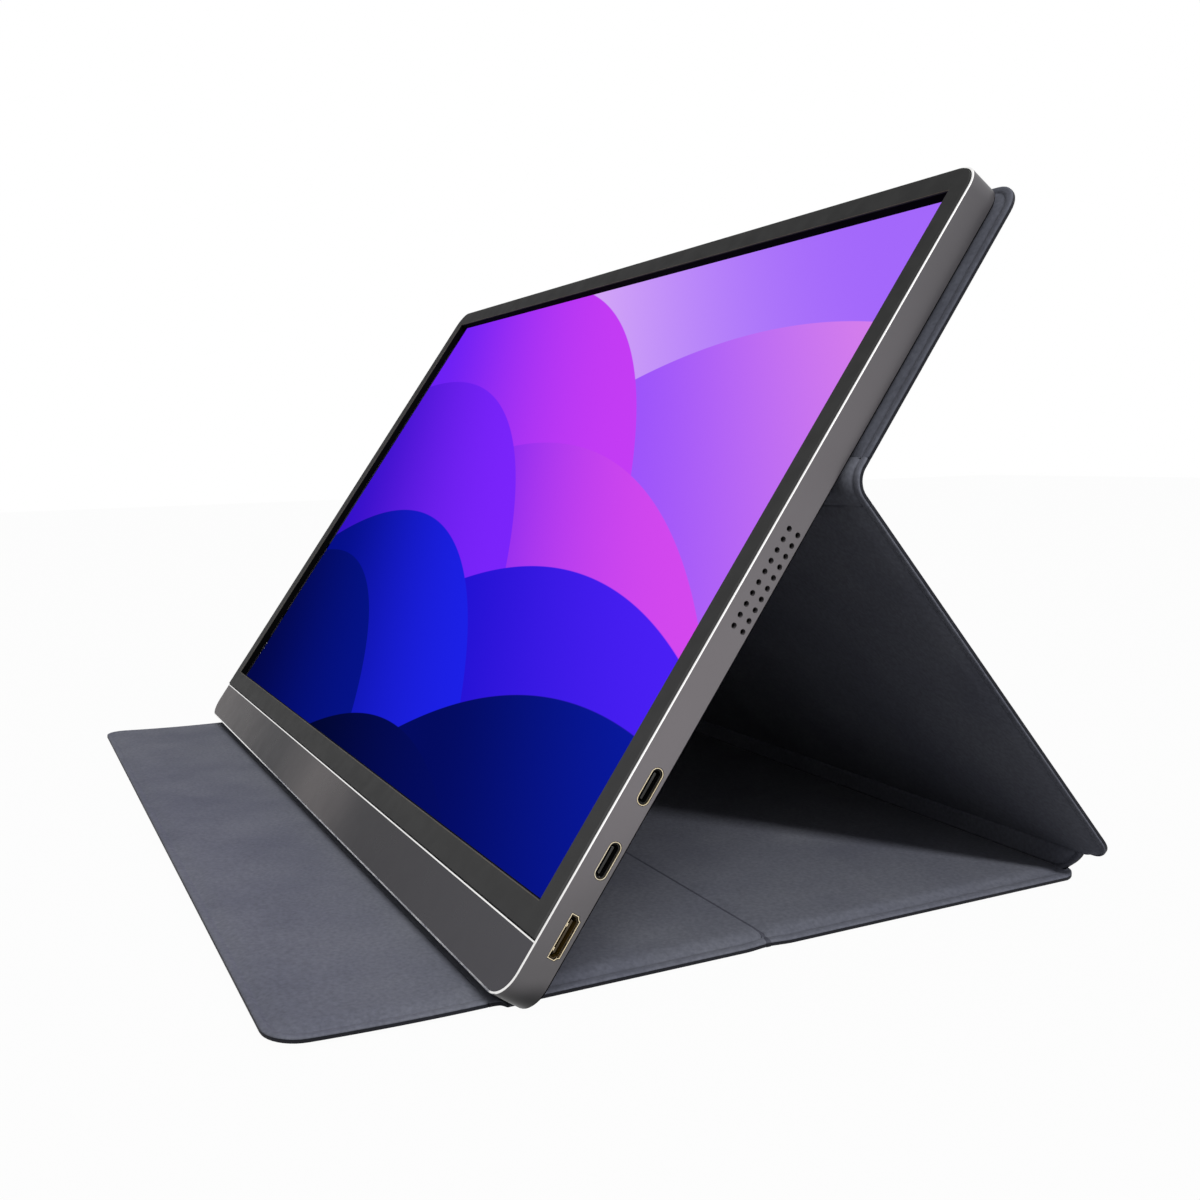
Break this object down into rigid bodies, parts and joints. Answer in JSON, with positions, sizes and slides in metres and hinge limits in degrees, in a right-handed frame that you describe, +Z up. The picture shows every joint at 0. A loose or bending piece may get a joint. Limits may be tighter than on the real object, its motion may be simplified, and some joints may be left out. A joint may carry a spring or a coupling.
{
  "type": "portable monitor with folio cover",
  "caption": "Slim flat display in a folding magnetic folio cover, whose leg and spine fold into a stand behind the screen and whose grooved base holds its lower edge.",
  "frame": {"origin": "on the table, in the middle of the folio's width and depth, as it stands in use", "axes": "+X to the right as seen by someone who looks at the screen, -Y towards that person, +Z up; the folds' axes lie along X"},
  "size_m": [0.367, 0.2242, 0.1883],
  "materials": {
    "shell": "bead-blasted and anodised gunmetal, polished front edge",
    "chin": "bead-blasted and anodised gunmetal",
    "bezel": "fine matt charcoal moulding",
    "screen_glass": null,
    "optical_film": "white film",
    "light_guide": "clear acrylic sheet",
    "led_strip": "row of white diodes",
    "steel_sheet": "pressed sheet steel",
    "flex": "polyimide flex circuit",
    "circuit_board": "solder-masked glass laminate",
    "socket_metal": "drawn sheet with a warm plating",
    "black_plastic": "moulded",
    "gauze": "fine woven black gauze",
    "control_metal": "turned and anodised",
    "screw_steel": "bright zinc plate",
    "magnet": "nickel-plated magnets and keeper plates",
    "lining": "slate-grey soft-touch synthetic leather with a pressed border",
    "skin": "near-black grained synthetic leather",
    "fold": "lining and skin laminated without a board",
    "board": "glass-fibre-filled stiffening board"
  },
  "bodies": {
    "base_rear": {"base_rear_lining": "lining", "base_rear_board": "board", "base_rear_skin": "skin", "crease_fold": "fold"},
    "base_middle": {"base_middle_lining": "lining", "base_middle_board": "board", "base_middle_skin": "skin", "groove_fold": "fold"},
    "front_flap": {"front_flap_lining": "lining", "front_flap_board": "board", "front_flap_skin": "skin", "flap_magnets": "magnet"},
    "spine": {"spine_lining": "lining", "spine_stiffener": "board", "spine_skin": "skin", "spine_fold": "fold"},
    "leg": {"leg_lining": "lining", "leg_board": "board", "leg_skin": "skin", "foot_fold": "fold"},
    "upper_panel": {"upper_lining": "lining", "upper_board": "board", "upper_skin": "skin", "upper_magnets": "magnet", "back_fold": "fold"},
    "monitor": {"rear_shell": "shell", "chin_panel": "chin", "front_bezel": "bezel", "lcd_cell": "screen_glass", "diffuser_films": "optical_film", "light_guide": "light_guide", "reflector_sheet": "optical_film", "led_strip": "led_strip", "panel_tray": "steel_sheet", "panel_flex": "flex", "timing_board": "circuit_board", "driver_board": "circuit_board", "port_board": "circuit_board", "button_board": "circuit_board", "display_cable": "flex", "hdmi_socket": "socket_metal", "usb_c_socket_lower": "socket_metal", "usb_c_socket_upper": "socket_metal", "audio_socket": "black_plastic", "speaker_right": "black_plastic", "speaker_left": "black_plastic", "speaker_gauze_right": "gauze", "speaker_gauze_left": "gauze", "power_switch": "black_plastic", "menu_switch": "black_plastic", "menu_pin": "screw_steel", "panel_screws": "screw_steel", "board_screws": "screw_steel", "shell_magnets": "magnet"},
    "power_button": {"power_button": "control_metal"},
    "menu_wheel": {"menu_wheel": "control_metal"}
  },
  "joints": [
    {"name": "spine_hinge", "type": "hinge", "parent": "base_rear", "child": "spine", "pos_m": [0, 0.10988, 0.00165], "axis": [1, 0, 0], "range_deg": [-86.1, 0], "deforming": ["spine_fold"]},
    {"name": "foot_hinge", "type": "hinge", "parent": "spine", "child": "leg", "pos_m": [0, 0.11046, 0.00993], "axis": [-1, 0, 0], "range_deg": [0, 44.19], "deforming": ["foot_fold"]},
    {"name": "back_hinge", "type": "hinge", "parent": "leg", "child": "upper_panel", "pos_m": [0, 0.02398, 0.11229], "axis": [1, 0, 0], "range_deg": [0, 75.79], "deforming": ["back_fold"]},
    {"name": "crease_hinge", "type": "hinge", "parent": "base_rear", "child": "base_middle", "pos_m": [0, 0.00959, 0], "axis": [-1, 0, 0], "range_deg": [-80, 0], "deforming": ["crease_fold"]},
    {"name": "groove_hinge", "type": "hinge", "parent": "base_middle", "child": "front_flap", "pos_m": [0, -0.05961, 0.00025], "axis": [-1, 0, 0], "range_deg": [-80, 12], "deforming": ["groove_fold"]},
    {"name": "monitor_lift", "type": "slide", "parent": "upper_panel", "child": "monitor", "axis": [0, 0, 1], "range_m": [0, 0.1]},
    {"name": "power_press", "type": "slide", "parent": "monitor", "child": "power_button", "axis": [1, 0, 0], "range_m": [0, 0.0004], "stiffness_N_per_m": 1000},
    {"name": "menu_turn", "type": "hinge", "parent": "monitor", "child": "menu_wheel", "pos_m": [-0.1775, -0.03988, 0.03317], "axis": [0, -0.8141, 0.5807], "range_deg": [-12, 12], "stiffness_Nm_per_rad": 0.02}
  ],
  "couplings": [
    {"joint": "spine_hinge", "follows": "foot_hinge", "ratio": -1.946},
    {"joint": "back_hinge", "follows": "foot_hinge", "ratio": 1.7128}
  ]
}
